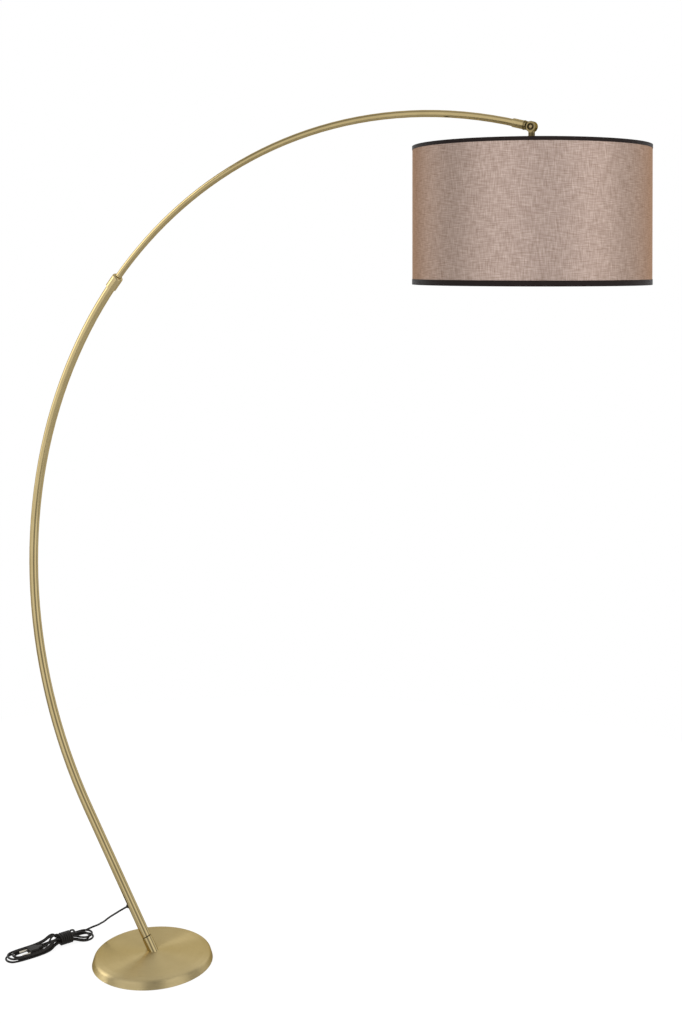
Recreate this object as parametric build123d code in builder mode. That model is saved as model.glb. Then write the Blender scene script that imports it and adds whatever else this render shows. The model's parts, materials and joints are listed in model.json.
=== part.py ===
"""Arc floor lamp: weighted round base, a bow of two telescoping tubes, a tilting drum shade and a tied lead.

The bow lies in the XZ plane. The origin is the centre of the base on the floor, and +X points to the shade.
"""

import math
import os

from build123d import *

# Base, millimetres
base_radius = 132.0
base_height = 24.0
base_lip = 1.2
dome_radius = 113.0
dome_rise = 3.6
dome_fullness = 0.4
shoulder_radius = 127.0
shoulder_drop = 6.4
shoulder_round = 9.0
cover_wall = 1.5
seat_radius = 17.0
weight_radius = 118.0
weight_top = 17.2
weight_boss_radius = 16.5
pad_thickness = 3.0
bolt_radius = 4.0
bolt_head_across = 13.0
bolt_head_height = 4.6
washer_radius = 14.0
washer_thickness = 2.0
bolt_tip_gap = 1.0

# Pole and bow, millimetres and degrees
pole_lean = 56.5
foot_length = 336.0
arc_radius = 990.0
lower_radius = 10.0
lower_wall = 1.2
lower_sweep = 74.8
upper_radius = 7.0
upper_wall = 1.0
upper_sweep = 63.2
upper_insert = 110.0
slide_travel = 15.0
socket_radius = 10.6
socket_length = 30.0
socket_spigot_length = 45.0
pole_seam = 1.2
socket_stud_radius = 9.0
socket_stud_length = 11.0
socket_thread_depth = 9.0
pole_screw_radius = 2.5
pole_screw_length = 6.0
pole_screw_place = 22.0
collar_radius = 12.5
collar_length = 33.0
collar_nose_round = 5.0
collar_step = 1.0
collar_screw_radius = 2.0
collar_screw_inset = 0.4
bush_length = 20.0

# Arm end and swivel, millimetres
ferrule_radius = 8.5
ferrule_length = 23.0
ferrule_grip = 15.0
flange_radius = 9.2
flange_length = 2.0
eye_radius = 10.5
eye_width = 5.6
eye_recess_radius = 6.8
eye_recess_depth = 2.0
eye_cavity_radius = 8.0
eye_wall = 1.0
eye_round = 1.0
tilt_up = 14.0
tilt_down = 60.0
lead_slot_margin = 12.0
swivel_screw_radius = 2.0
screw_head_radius = 3.2
screw_head_height = 1.4
swivel_washer_thickness = 0.5
swivel_nut_across = 7.0
swivel_nut_thickness = 2.0
shank_start = 16.0
thread_radius = 5.0
lead_bore = 3.5
lead_radius = 1.0
lead_spacing = 2.4
lead_bend = 13.9
stem_radius = 6.25
stem_length = 28.0

# Lampholder, millimetres, depths measured down from the swivel's axis
nipple_length = 22.0
lock_nut_across = 14.0
lock_nut_thickness = 3.0
cap_depth = 34.0
cap_height = 24.0
cap_radius = 20.0
cap_neck_radius = 8.0
cap_neck_height = 6.0
cap_wall = 1.6
cap_shoulder = 15.0
holder_flange_radius = 23.0
holder_flange_thickness = 3.0
skirt_radius = 19.0
skirt_length = 31.0
insert_radius = 17.5
insert_thickness = 7.6
insert_pocket_radius = 10.0
insert_pocket_depth = 4.6
shell_bore = 13.4
shell_wall = 0.5
shell_length = 22.0
contact_width = 5.0
contact_thickness = 0.8
contact_reach = 9.5
contact_lift = 4.0
contact_tip = 2.0
ring_nut_radius = 24.0
ring_nut_height = 6.0
ring_nut_notch = 2.0
ring_nut_notches = 12

# Shade, millimetres
shade_radius = 225.0
shade_height = 260.0
shade_drop = 37.0
trim_thickness = 0.6
top_trim_height = 7.0
bottom_trim_height = 10.5
fabric_thickness = 0.8
liner_thickness = 0.6
wire_radius = 2.0
carrier_plate_radius = 28.0
carrier_plate_thickness = 1.5
spoke_count = 3
spoke_start = 24.8
spoke_knee = 70.0
spoke_crown = 190.0
spoke_bite = 0.5
spoke_bend = 40.0

# Mains lead, millimetres and degrees
cord_radius = 2.1
cord_exit = 107.0
grommet_neck = 3.9
grommet_flange = 5.6
grommet_flange_height = 2.2
grommet_nose_radius = 4.0
grommet_nose_height = 4.0
grommet_taper = 8.0
inner_bend = 6.0
floor_gap = 0.2
run_start = 23.0
run_end = 17.0
run_way = ((-110.0, 4.5, 76.0), (-130.0, 11.5, 58.5), (-147.5, 18.8, 42.5))
bend_share = 0.45
hank_place = (-231.9, -54.3)
hank_heading = 66.8
strand_pitch = 5.4
layer_pitch = 5.35
fold_radius = 15.8
waist_right = 34.0
waist_left = 3.0
spread_right = 59.5
spread_left = -30.0
spread_lead = 2.5
right_turns = (67.0, 61.5, 67.0)
left_turns = (-97.0, -83.0, -87.0, -93.0)
lead_in_radius = 34.0
lead_in_lift = 15.0
lead_in_slope = 0.57
wrap_turns = 6
wrap_pitch = 4.9
wrap_start = 36.0
wrap_half_width = 14.6
wrap_half_height = 10.8
wrap_rise = 9.7
wrap_lead = 5.7
wrap_release = 1 / 3
tail_turn = (-10.6, 3.0, 0.6)
tail_heading = (-1.0, 0.0, -0.15)
tail_end = -31.0
plug_length = 31.0
plug_width = 25.0
plug_back_width = 12.0
plug_waist = 8.5
plug_waist_width = 14.0
plug_shoulder = 14.0
plug_thickness = 13.0
plug_round = 3.0
pin_radius = 2.0
pin_length = 19.0
pin_spacing = 19.0

# Fits, millimetres
slide_gap = 0.3
seat_gap = 0.1
run_gap = 0.05
face_gap = 0.1
same_place = 1e-6
edge_samples = 12


def keep(piece, name):
    """Label a finished piece and write it."""
    piece.part.label = name
    export_step(piece.part, f"parts/{name}.step")


def turning_plane(origin, axis):
    """Plane of a turned profile: local x is the radius, along +Y, and local y runs along the axis."""
    return Plane(origin=origin, x_dir=(0, 1, 0), z_dir=(axis[2], 0, -axis[0]))


def turned(name, outline, origin, axis):
    """A turned piece from (radius, place along the axis) points."""
    with BuildPart() as piece:
        with BuildSketch(turning_plane(origin, axis)):
            with BuildLine():
                Polyline(*outline, close=True)
            make_face()
        revolve(axis=Axis(origin, axis))
    keep(piece, name)
    return piece


def ring_outline(inner, outer, low, high):
    """Rectangle of a plain ring or sleeve."""
    return [(inner, low), (outer, low), (outer, high), (inner, high)]


def step_along(origin, axis, distance):
    """Point at a distance along an axis."""
    return tuple(o + a * distance for o, a in zip(origin, axis))


os.makedirs("parts", exist_ok=True)

# Axis of the pole: a straight foot that leans back, then one arc over to the shade
lean = math.radians(pole_lean)
foot = (0.0, 0.0, base_height)
foot_axis = (-math.cos(lean), 0.0, math.sin(lean))
back_axis = (-math.sin(lean), 0.0, -math.cos(lean))
bend_start = step_along(foot, foot_axis, foot_length)
arc_centre = step_along(bend_start, back_axis, -arc_radius)
bend_angle = 270.0 - pole_lean


def on_arc(angle):
    """Point of the bow's axis at an angle about the arc's centre."""
    turn = math.radians(angle)
    return (arc_centre[0] + arc_radius * math.cos(turn), 0.0, arc_centre[2] + arc_radius * math.sin(turn))


def along_arc(angle):
    """Direction of the bow's axis there, towards the shade."""
    turn = math.radians(angle)
    return (math.sin(turn), 0.0, -math.cos(turn))


def arc_degrees(length):
    """Angle that a length takes up on the bow."""
    return math.degrees(length / arc_radius)


def flat(point):
    """A point of the bow's plane as a sketch point."""
    return (point[0], point[2])


def bow_arc(start, end):
    """Edge of the bow between two angles, on the XZ plane."""
    return ThreePointArc(flat(on_arc(start)), flat(on_arc((start + end) / 2)), flat(on_arc(end)))


def bow_tube(start, end, outer, inner=0.0):
    """Tube or rod along the bow."""
    with BuildPart() as piece:
        with BuildLine(Plane.XZ) as path:
            bow_arc(start, end)
        with BuildSketch(Plane(origin=on_arc(start), x_dir=(0, 1, 0), z_dir=along_arc(start))):
            Circle(outer)
            if inner:
                Circle(inner, mode=Mode.SUBTRACT)
        sweep(path=path.line)
    return piece


collar_angle = bend_angle - lower_sweep
lower_end = collar_angle + arc_degrees(collar_step + slide_gap)
upper_start = collar_angle + arc_degrees(upper_insert)
upper_end = collar_angle - upper_sweep
ferrule_angle = upper_end + arc_degrees(ferrule_grip / 2)
ferrule_axis = along_arc(ferrule_angle)
pivot_offset = ferrule_grip / 2 + ferrule_length - ferrule_grip + shank_start
pivot = step_along(on_arc(ferrule_angle), ferrule_axis, pivot_offset)
down = (0.0, 0.0, -1.0)

# Base: spun cover, cast weight, floor pad
lower_bore = lower_radius - lower_wall
socket_hole = socket_stud_radius + seat_gap
with BuildPart() as base_cover:
    with BuildSketch(Plane.XZ) as section:
        with BuildLine():
            rim = (base_radius, base_lip)
            shoulder = (shoulder_radius, base_height - shoulder_drop)
            dome_end = (dome_radius, base_height - dome_rise)
            dome_middle = ((seat_radius + dome_radius) / 2, base_height - dome_rise * dome_fullness)
            Line((0, base_height), (seat_radius, base_height))
            ThreePointArc((seat_radius, base_height), dome_middle, dome_end)
            Polyline(dome_end, shoulder, rim, (0, base_lip), (0, base_height))
        make_face()
        fillet(section.vertices().sort_by_distance((*shoulder, 0))[0], shoulder_round)
    revolve(axis=Axis.Z)
    offset(amount=-cover_wall, openings=base_cover.faces().sort_by(Axis.Z)[0])
    with Locations((0, 0, base_height)):
        Hole(socket_hole)
keep(base_cover, "base_cover")

washer_top = pad_thickness + face_gap + bolt_head_height + washer_thickness
pocket_radius = washer_radius + slide_gap
with BuildPart() as base_weight:
    with BuildSketch(Plane.XY.offset(pad_thickness)):
        Circle(weight_radius)
    extrude(amount=weight_top - pad_thickness)
    fillet(base_weight.edges().group_by(Axis.Z)[-1], 2 * cover_wall)
    with BuildSketch(Plane.XY.offset(weight_top)):
        Circle(weight_boss_radius)
    extrude(amount=base_height - cover_wall - seat_gap - weight_top)
    with Locations((0, 0, base_height)):
        Hole(socket_hole)
    with BuildSketch(Plane.XY.offset(pad_thickness)):
        Circle(pocket_radius)
    extrude(amount=washer_top - pad_thickness, mode=Mode.SUBTRACT)
keep(base_weight, "base_weight")

pad_radius = base_radius - 2 * cover_wall - slide_gap
with BuildPart() as base_pad:
    with BuildSketch():
        Circle(pad_radius)
    extrude(amount=pad_thickness)
    chamfer(base_pad.edges().group_by(Axis.Z)[0], pad_thickness / 4)
keep(base_pad, "base_pad")

# Leaning socket, its bolt and the pole's set screw
foot_plane = Plane(origin=foot, x_dir=(0, 1, 0), z_dir=foot_axis)
stud_bottom = base_height - socket_stud_length
screw_level = step_along(foot, foot_axis, socket_length + pole_screw_place)
with BuildPart() as base_socket:
    with BuildSketch(foot_plane.offset(-2 * socket_radius)):
        Circle(socket_radius)
    extrude(amount=socket_length + 2 * socket_radius)
    chamfer(base_socket.edges().sort_by(Axis.Z)[-1], (socket_radius - lower_radius) + seat_gap)
    split(bisect_by=Plane.XY.offset(base_height), keep=Keep.TOP)
    with BuildSketch(foot_plane.offset(socket_length)):
        Circle(lower_bore - seat_gap)
    extrude(amount=socket_spigot_length)
    with BuildSketch(Plane.XY.offset(stud_bottom)):
        Circle(socket_stud_radius)
    extrude(amount=socket_stud_length)
    with BuildSketch(Plane.XY.offset(stud_bottom)):
        Circle(bolt_radius + run_gap)
    extrude(amount=socket_thread_depth, mode=Mode.SUBTRACT)
    with BuildSketch(Plane(origin=screw_level, x_dir=(1, 0, 0), z_dir=(0, 1, 0)).offset(lower_bore)):
        Circle(pole_screw_radius + run_gap)
    extrude(amount=lower_wall - pole_screw_length - face_gap, mode=Mode.SUBTRACT)
keep(base_socket, "base_socket")

bolt_seat = washer_top - washer_thickness
with BuildPart() as base_bolt:
    with BuildSketch(Plane.XY.offset(bolt_seat)):
        RegularPolygon(bolt_head_across / 2, 6, major_radius=False)
    extrude(amount=-bolt_head_height)
    with BuildSketch(Plane.XY.offset(bolt_seat)):
        Circle(bolt_radius)
    extrude(amount=stud_bottom + socket_thread_depth - bolt_tip_gap - bolt_seat)
keep(base_bolt, "base_bolt")

washer_outline = ring_outline(bolt_radius + seat_gap, washer_radius, bolt_seat, washer_top)
turned("base_washer", washer_outline, (0, 0, 0), (0, 0, 1))

with BuildPart() as pole_screw:
    with BuildSketch(Plane(origin=screw_level, x_dir=(1, 0, 0), z_dir=(0, 1, 0)).offset(lower_radius)):
        Circle(pole_screw_radius)
    extrude(amount=-pole_screw_length)
keep(pole_screw, "pole_screw")

# Lower tube, with the lead's hole in its outer side
exit_point = step_along(foot, foot_axis, cord_exit)
exit_plane = Plane(origin=exit_point, x_dir=(0, 1, 0), z_dir=back_axis)
tube_foot = step_along(foot, foot_axis, socket_length + pole_seam)
with BuildPart() as lower_tube:
    with BuildLine(Plane.XZ) as pole_path:
        Line(flat(tube_foot), flat(bend_start))
        bow_arc(bend_angle, lower_end)
    with BuildSketch(Plane(origin=tube_foot, x_dir=(0, 1, 0), z_dir=foot_axis)):
        Circle(lower_radius)
        Circle(lower_bore, mode=Mode.SUBTRACT)
    sweep(path=pole_path.line)
    with BuildSketch(exit_plane):
        Circle(grommet_neck + seat_gap)
    extrude(amount=2 * lower_radius, mode=Mode.SUBTRACT)
    with BuildSketch(Plane(origin=screw_level, x_dir=(1, 0, 0), z_dir=(0, 1, 0))):
        Circle(pole_screw_radius + run_gap)
    extrude(amount=2 * lower_radius, mode=Mode.SUBTRACT)
keep(lower_tube, "lower_tube")

# Grommet: a saddle flange on the tube, a neck through its wall and a short nose for the lead
nose_end = lower_radius + grommet_flange_height + grommet_nose_height
with BuildPart() as cord_grommet:
    with BuildSketch(exit_plane.offset(lower_bore)):
        Circle(grommet_flange)
    extrude(amount=lower_wall + grommet_flange_height)
    with BuildSketch(Plane(origin=foot, x_dir=(0, 1, 0), z_dir=foot_axis)):
        Circle(lower_radius + run_gap)
    extrude(amount=2 * cord_exit, mode=Mode.SUBTRACT)
    with BuildSketch(exit_plane.offset(lower_bore - lower_wall)):
        Circle(grommet_neck)
    extrude(amount=2 * lower_wall + grommet_flange_height)
    with BuildSketch(exit_plane.offset(lower_radius + grommet_flange_height)):
        Circle(grommet_nose_radius)
    extrude(amount=grommet_nose_height, taper=grommet_taper)
    with BuildSketch(exit_plane):
        Circle(cord_radius + seat_gap)
    extrude(amount=nose_end, mode=Mode.SUBTRACT)
keep(cord_grommet, "cord_grommet")

# Collar, turned, with its clamp screw, and the guide bush on the thin tube's hidden end
collar_middle = on_arc(collar_angle)
collar_axis = along_arc(collar_angle)
half_collar = collar_length / 2
collar_bore = upper_radius + slide_gap
with BuildPart() as collar:
    with BuildSketch(turning_plane(collar_middle, collar_axis)) as section:
        with BuildLine():
            Polyline(
                (lower_radius + seat_gap, -half_collar),
                (collar_radius, -half_collar),
                (collar_radius, half_collar),
                (collar_bore, half_collar),
                (collar_bore, -collar_step),
                (lower_radius + seat_gap, -collar_step),
                close=True,
            )
        make_face()
        fillet(section.vertices().sort_by_distance((collar_radius, half_collar, 0))[0], collar_nose_round)
    revolve(axis=Axis(collar_middle, collar_axis))
    clamp_level = step_along(collar_middle, collar_axis, half_collar / 3)
    with BuildSketch(Plane(origin=clamp_level, x_dir=(1, 0, 0), z_dir=(0, 1, 0))):
        Circle(collar_screw_radius + run_gap)
    extrude(amount=2 * collar_radius, mode=Mode.SUBTRACT)
keep(collar, "collar")

with BuildPart() as collar_screw:
    with BuildSketch(Plane(origin=clamp_level, x_dir=(1, 0, 0), z_dir=(0, 1, 0)).offset(collar_bore)):
        Circle(collar_screw_radius)
    extrude(amount=collar_radius - collar_bore - collar_screw_inset)
keep(collar_screw, "collar_screw")

keep(bow_tube(upper_start, upper_end, upper_radius, upper_radius - upper_wall), "upper_tube")
bush_end = upper_start - arc_degrees(bush_length)
keep(bow_tube(upper_start, bush_end, lower_bore - slide_gap, upper_radius + run_gap), "guide_bush")

# Flex inside the tubes: up the pole, slack for the slide, then with the arm
pole_flex_end = upper_start + slide_travel + arc_degrees(slide_gap)
with BuildPart() as pole_flex:
    with BuildLine(Plane.XZ) as flex_path:
        nose_point = step_along(exit_point, back_axis, nose_end)
        FilletPolyline(flat(nose_point), flat(exit_point), flat(bend_start), radius=inner_bend)
        bow_arc(bend_angle, pole_flex_end)
    with BuildSketch(Plane(origin=nose_point, x_dir=(0, 1, 0), z_dir=tuple(-a for a in back_axis))):
        Circle(cord_radius)
    sweep(path=flex_path.line)
keep(pole_flex, "pole_flex")
keep(bow_tube(pole_flex_end, upper_start, cord_radius), "slack_flex")
keep(bow_tube(upper_start, upper_end, cord_radius), "arm_flex")

# Arm end: ferrule and the arm's half of the swivel, both along the bow's last tangent
arm_back = tuple(-a for a in ferrule_axis)
ferrule_outline = [
    (thread_radius + run_gap, shank_start),
    (ferrule_radius, shank_start),
    (ferrule_radius, shank_start + ferrule_length),
    (upper_radius + seat_gap, shank_start + ferrule_length),
    (upper_radius + seat_gap, shank_start + ferrule_length - ferrule_grip),
    (thread_radius + run_gap, shank_start + ferrule_length - ferrule_grip),
]
turned("arm_ferrule", ferrule_outline, pivot, arm_back)

eye_plane = Plane(origin=pivot, x_dir=(1, 0, 0), z_dir=(0, 1, 0))
shank_plane = Plane(origin=pivot, x_dir=(0, 1, 0), z_dir=arm_back)
eye_clearance = eye_radius + slide_gap + face_gap
cavity_width = eye_width - eye_recess_depth - eye_wall
slot_depth = lead_spacing / 2 + lead_radius + slide_gap
arm_side = math.degrees(math.atan2(-arm_back[2], arm_back[0])) % 360
stem_side = 90.0


def lead_slot(first, last):
    """Wedge of an eye's wall that the leads sweep through as the head tilts."""
    corners = [math.radians(first - lead_slot_margin), math.radians(last + lead_slot_margin)]
    far = 2 * eye_radius
    Polygon((0, 0), *[(far * math.cos(turn), far * math.sin(turn)) for turn in corners], align=None)


with BuildPart() as knuckle_arm:
    with BuildSketch(shank_plane):
        Circle(ferrule_radius)
    extrude(amount=shank_start)
    with BuildSketch(shank_plane.offset(shank_start)):
        Circle(flange_radius)
    extrude(amount=-flange_length)
    with BuildSketch(eye_plane.offset(face_gap)):
        Circle(eye_clearance)
    extrude(amount=-2 * eye_radius, mode=Mode.SUBTRACT)
    with BuildSketch(eye_plane.offset(eye_width)):
        Circle(eye_clearance)
    extrude(amount=2 * eye_radius, mode=Mode.SUBTRACT)
    with BuildSketch(eye_plane.offset(face_gap)):
        Circle(eye_radius)
    extrude(amount=eye_width - face_gap)
    with BuildSketch(shank_plane.offset(shank_start)):
        Circle(thread_radius)
    extrude(amount=ferrule_length - ferrule_grip)
    with BuildSketch(shank_plane):
        Circle(lead_bore)
    extrude(amount=2 * ferrule_length, mode=Mode.SUBTRACT)
    with BuildSketch(eye_plane.offset(face_gap)):
        Circle(eye_cavity_radius)
    extrude(amount=cavity_width - face_gap, mode=Mode.SUBTRACT)
    with BuildSketch(eye_plane.offset(face_gap)):
        lead_slot(stem_side - tilt_down, stem_side + tilt_up)
    extrude(amount=slot_depth - face_gap, mode=Mode.SUBTRACT)
    with BuildSketch(eye_plane):
        Circle(swivel_screw_radius + run_gap)
    extrude(amount=2 * eye_width, mode=Mode.SUBTRACT)
    with BuildSketch(eye_plane.offset(eye_width - eye_recess_depth)):
        RegularPolygon(swivel_nut_across / 2 + seat_gap, 6, major_radius=False)
    extrude(amount=eye_recess_depth, mode=Mode.SUBTRACT)
keep(knuckle_arm, "knuckle_arm")

# Head's half of the swivel, on the near side, with the screw's recess
with BuildPart() as knuckle_head:
    with BuildSketch(eye_plane.offset(-face_gap)):
        Circle(eye_radius)
    extrude(amount=face_gap - eye_width)
    fillet(knuckle_head.faces().sort_by(Axis.Y)[0].outer_wire().edges(), eye_round)
    with BuildSketch(Plane(origin=pivot, z_dir=down)):
        Circle(stem_radius)
    extrude(amount=stem_length)
    with BuildSketch(eye_plane.offset(-face_gap)):
        Circle(eye_clearance)
    extrude(amount=2 * eye_radius, mode=Mode.SUBTRACT)
    with BuildSketch(eye_plane.offset(-eye_width)):
        Circle(eye_clearance)
    extrude(amount=-2 * eye_radius, mode=Mode.SUBTRACT)
    with BuildSketch(eye_plane.offset(-eye_width)):
        Circle(eye_recess_radius)
    extrude(amount=eye_recess_depth, mode=Mode.SUBTRACT)
    with BuildSketch(Plane(origin=pivot, z_dir=down)):
        Circle(lead_bore)
    extrude(amount=stem_length, mode=Mode.SUBTRACT)
    with BuildSketch(eye_plane.offset(-face_gap)):
        Circle(eye_cavity_radius)
    extrude(amount=face_gap - cavity_width, mode=Mode.SUBTRACT)
    with BuildSketch(eye_plane.offset(-face_gap)):
        lead_slot(arm_side - tilt_up, arm_side + tilt_down)
    extrude(amount=face_gap - slot_depth, mode=Mode.SUBTRACT)
    with BuildSketch(eye_plane):
        Circle(swivel_screw_radius + run_gap)
    extrude(amount=-2 * eye_width, mode=Mode.SUBTRACT)
    with BuildSketch(Plane(origin=pivot, z_dir=down).offset(stem_length)):
        Circle(thread_radius + run_gap)
    extrude(amount=-nipple_length / 2 + lock_nut_thickness, mode=Mode.SUBTRACT)
keep(knuckle_head, "knuckle_head")

recess_floor = eye_width - eye_recess_depth
washer_outer = -recess_floor - face_gap - swivel_washer_thickness
with BuildPart() as knuckle_screw:
    with BuildSketch(eye_plane.offset(washer_outer)):
        Circle(screw_head_radius)
    extrude(amount=-screw_head_height)
    fillet(knuckle_screw.edges().sort_by(Axis.Y)[0], screw_head_height / 2)
    with BuildSketch(eye_plane.offset(washer_outer)):
        Circle(swivel_screw_radius)
    extrude(amount=recess_floor + swivel_nut_thickness - washer_outer)
keep(knuckle_screw, "knuckle_screw")
with BuildPart() as knuckle_washer:
    with BuildSketch(eye_plane.offset(washer_outer)):
        Circle(screw_head_radius + seat_gap)
        Circle(swivel_screw_radius + run_gap, mode=Mode.SUBTRACT)
    extrude(amount=swivel_washer_thickness)
keep(knuckle_washer, "knuckle_washer")
with BuildPart() as knuckle_nut:
    with BuildSketch(eye_plane.offset(recess_floor)):
        RegularPolygon(swivel_nut_across / 2, 6, major_radius=False)
        Circle(swivel_screw_radius + run_gap, mode=Mode.SUBTRACT)
    extrude(amount=swivel_nut_thickness)
keep(knuckle_nut, "knuckle_nut")

# Two leads from the flex, past the swivel's screw and down the stem
insert_top = cap_depth + cap_height
lead_start = step_along(pivot, arm_back, shank_start + ferrule_length - ferrule_grip - slide_gap)
lead_end = step_along(pivot, down, insert_top)
with BuildPart() as head_leads:
    for side in (-0.5, 0.5):
        lead_plane = Plane(origin=(0, side * lead_spacing, 0), x_dir=(1, 0, 0), z_dir=(0, -1, 0))
        with BuildLine(lead_plane) as lead_path:
            FilletPolyline(flat(lead_start), flat(pivot), flat(lead_end), radius=lead_bend)
        with BuildSketch(Plane(origin=lead_path.line @ 0, z_dir=lead_path.line % 0)):
            Circle(lead_radius)
        sweep(path=lead_path.line)
keep(head_leads, "head_leads")

# Nipple, lock nut and lampholder, turned about the head's vertical axis
thread_bore = thread_radius + run_gap
nipple_top = stem_length - nipple_length / 2 + lock_nut_thickness + face_gap
nipple_outline = ring_outline(lead_bore, thread_radius, nipple_top, nipple_top + nipple_length)
turned("stem_nipple", nipple_outline, pivot, down)
with BuildPart() as lock_nut:
    with BuildSketch(Plane(origin=pivot, z_dir=down).offset(cap_depth)):
        RegularPolygon(lock_nut_across / 2, 6, major_radius=False)
        Circle(thread_bore, mode=Mode.SUBTRACT)
    extrude(amount=-lock_nut_thickness)
keep(lock_nut, "lock_nut")

with BuildPart() as holder_cap:
    with BuildSketch(turning_plane(pivot, down)):
        with BuildLine():
            neck_end = cap_depth + cap_neck_height
            dome_side = (cap_radius, cap_depth + cap_shoulder)
            inner_side = (cap_radius - cap_wall, dome_side[1])
            roof = neck_end + cap_wall
            Polyline((cap_neck_radius, neck_end), (cap_neck_radius, cap_depth), (thread_bore, cap_depth),
                     (thread_bore, roof), (cap_neck_radius, roof))
            TangentArc((cap_neck_radius, roof), inner_side, tangent=(1, 0))
            Polyline(inner_side, (inner_side[0], insert_top), (cap_radius, insert_top), dome_side)
            TangentArc(dome_side, (cap_neck_radius, neck_end), tangent=(0, -1))
        make_face()
    revolve(axis=Axis(pivot, down))
keep(holder_cap, "holder_cap")

insert_bottom = insert_top + insert_thickness
skirt_end = insert_top + holder_flange_thickness + skirt_length
shell_outer = shell_bore + shell_wall
skirt_mouth = shell_outer + slide_gap
holder_outline = [
    (insert_radius + seat_gap, insert_top),
    (holder_flange_radius, insert_top),
    (holder_flange_radius, insert_top + holder_flange_thickness),
    (skirt_radius, insert_top + holder_flange_thickness),
    (skirt_radius, skirt_end),
    (skirt_mouth, skirt_end),
    (skirt_mouth, insert_bottom),
    (insert_radius + seat_gap, insert_bottom),
]
turned("holder_body", holder_outline, pivot, down)
pocket_floor = insert_bottom - insert_pocket_depth
insert_outline = [
    (lead_bore, insert_top + face_gap),
    (insert_radius, insert_top + face_gap),
    (insert_radius, insert_bottom),
    (insert_pocket_radius, insert_bottom),
    (insert_pocket_radius, pocket_floor),
    (lead_bore, pocket_floor),
]
turned("holder_insert", insert_outline, pivot, down)
shell_outline = ring_outline(shell_bore, shell_outer, insert_bottom, insert_bottom + shell_length)
turned("holder_shell", shell_outline, pivot, down)

# Springy centre contact in the insert's pocket: a foot, a rise and a flat tip
with BuildPart() as centre_contact:
    with BuildSketch(turning_plane(pivot, down)):
        with BuildLine():
            tip_level = pocket_floor + contact_lift
            Polyline(
                (contact_reach, pocket_floor),
                (contact_reach, pocket_floor + contact_thickness),
                (contact_reach / 2, pocket_floor + contact_thickness),
                (contact_tip, tip_level),
                (-contact_tip, tip_level),
                (-contact_tip, tip_level - contact_thickness),
                (contact_tip, tip_level - contact_thickness),
                (contact_reach / 2, pocket_floor),
                close=True,
            )
        make_face()
    extrude(amount=contact_width / 2, both=True)
keep(centre_contact, "centre_contact")

# Ring nut with grip notches, under the shade carrier's plate
plate_top = insert_top + holder_flange_thickness
nut_top = plate_top + carrier_plate_thickness
with BuildPart() as ring_nut:
    with BuildSketch(Plane(origin=pivot, z_dir=down).offset(nut_top)):
        Circle(ring_nut_radius)
        with PolarLocations(ring_nut_radius, ring_nut_notches):
            Circle(ring_nut_notch / 2, mode=Mode.SUBTRACT)
        Circle(skirt_radius + run_gap, mode=Mode.SUBTRACT)
    extrude(amount=ring_nut_height)
keep(ring_nut, "ring_nut")

# Shade: wire carrier, bottom wire, liner, fabric and bias trims
shade_bottom = shade_drop + shade_height
fabric_outer = shade_radius - trim_thickness
fabric_inner = fabric_outer - fabric_thickness
liner_inner = fabric_inner - liner_thickness
wire_ring = liner_inner - wire_radius - run_gap
wire_level = shade_drop + trim_thickness + wire_radius + run_gap
spoke_level = wire_level + 2 * wire_radius - spoke_bite
plate_level = plate_top + carrier_plate_thickness / 2
with BuildPart() as shade_carrier:
    with BuildSketch(turning_plane(pivot, down)):
        with Locations((wire_ring, wire_level)):
            Circle(wire_radius)
    revolve(axis=Axis(pivot, down))
    for turn in range(spoke_count):
        heading = math.radians(360.0 * turn / spoke_count)
        spoke_plane = Plane(origin=pivot, x_dir=(math.cos(heading), math.sin(heading), 0),
                            z_dir=(-math.sin(heading), math.cos(heading), 0))
        with BuildLine(spoke_plane) as spoke_path:
            FilletPolyline((spoke_start, plate_level), (spoke_knee, plate_level), (spoke_crown, spoke_level),
                           (wire_ring, spoke_level), radius=spoke_bend)
        with BuildSketch(Plane(origin=spoke_path.line @ 0, z_dir=spoke_path.line % 0)):
            Circle(wire_radius)
        sweep(path=spoke_path.line)
    with BuildSketch(Plane(origin=pivot, z_dir=down).offset(plate_top)):
        Circle(carrier_plate_radius)
        Circle(skirt_radius + slide_gap, mode=Mode.SUBTRACT)
    extrude(amount=carrier_plate_thickness)
keep(shade_carrier, "shade_carrier")

with BuildPart() as bottom_wire:
    with BuildSketch(turning_plane(pivot, down)):
        with Locations((wire_ring, shade_bottom - (wire_level - shade_drop))):
            Circle(wire_radius)
    revolve(axis=Axis(pivot, down))
keep(bottom_wire, "bottom_wire")

wall_top = shade_drop + trim_thickness
wall_bottom = shade_bottom - trim_thickness
turned("shade_fabric", ring_outline(fabric_inner, fabric_outer, wall_top, wall_bottom), pivot, down)
turned("shade_liner", ring_outline(liner_inner, fabric_inner, wall_top, wall_bottom), pivot, down)


def bias_trim(name, edge, inward, height):
    """Folded tape over a shade edge: tall outside, over the wire, and down to the wire's middle inside."""
    lip = wire_ring - wire_radius - run_gap
    hem = edge + inward * (trim_thickness + wire_radius)
    outline = [
        (fabric_outer, edge + inward * height),
        (shade_radius, edge + inward * height),
        (shade_radius, edge),
        (lip - trim_thickness, edge),
        (lip - trim_thickness, hem),
        (lip, hem),
        (lip, edge + inward * trim_thickness),
        (fabric_outer, edge + inward * trim_thickness),
    ]
    turned(name, outline, pivot, down)


bias_trim("top_trim", shade_drop, 1, top_trim_height)
bias_trim("bottom_trim", shade_bottom, -1, bottom_trim_height)

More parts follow.
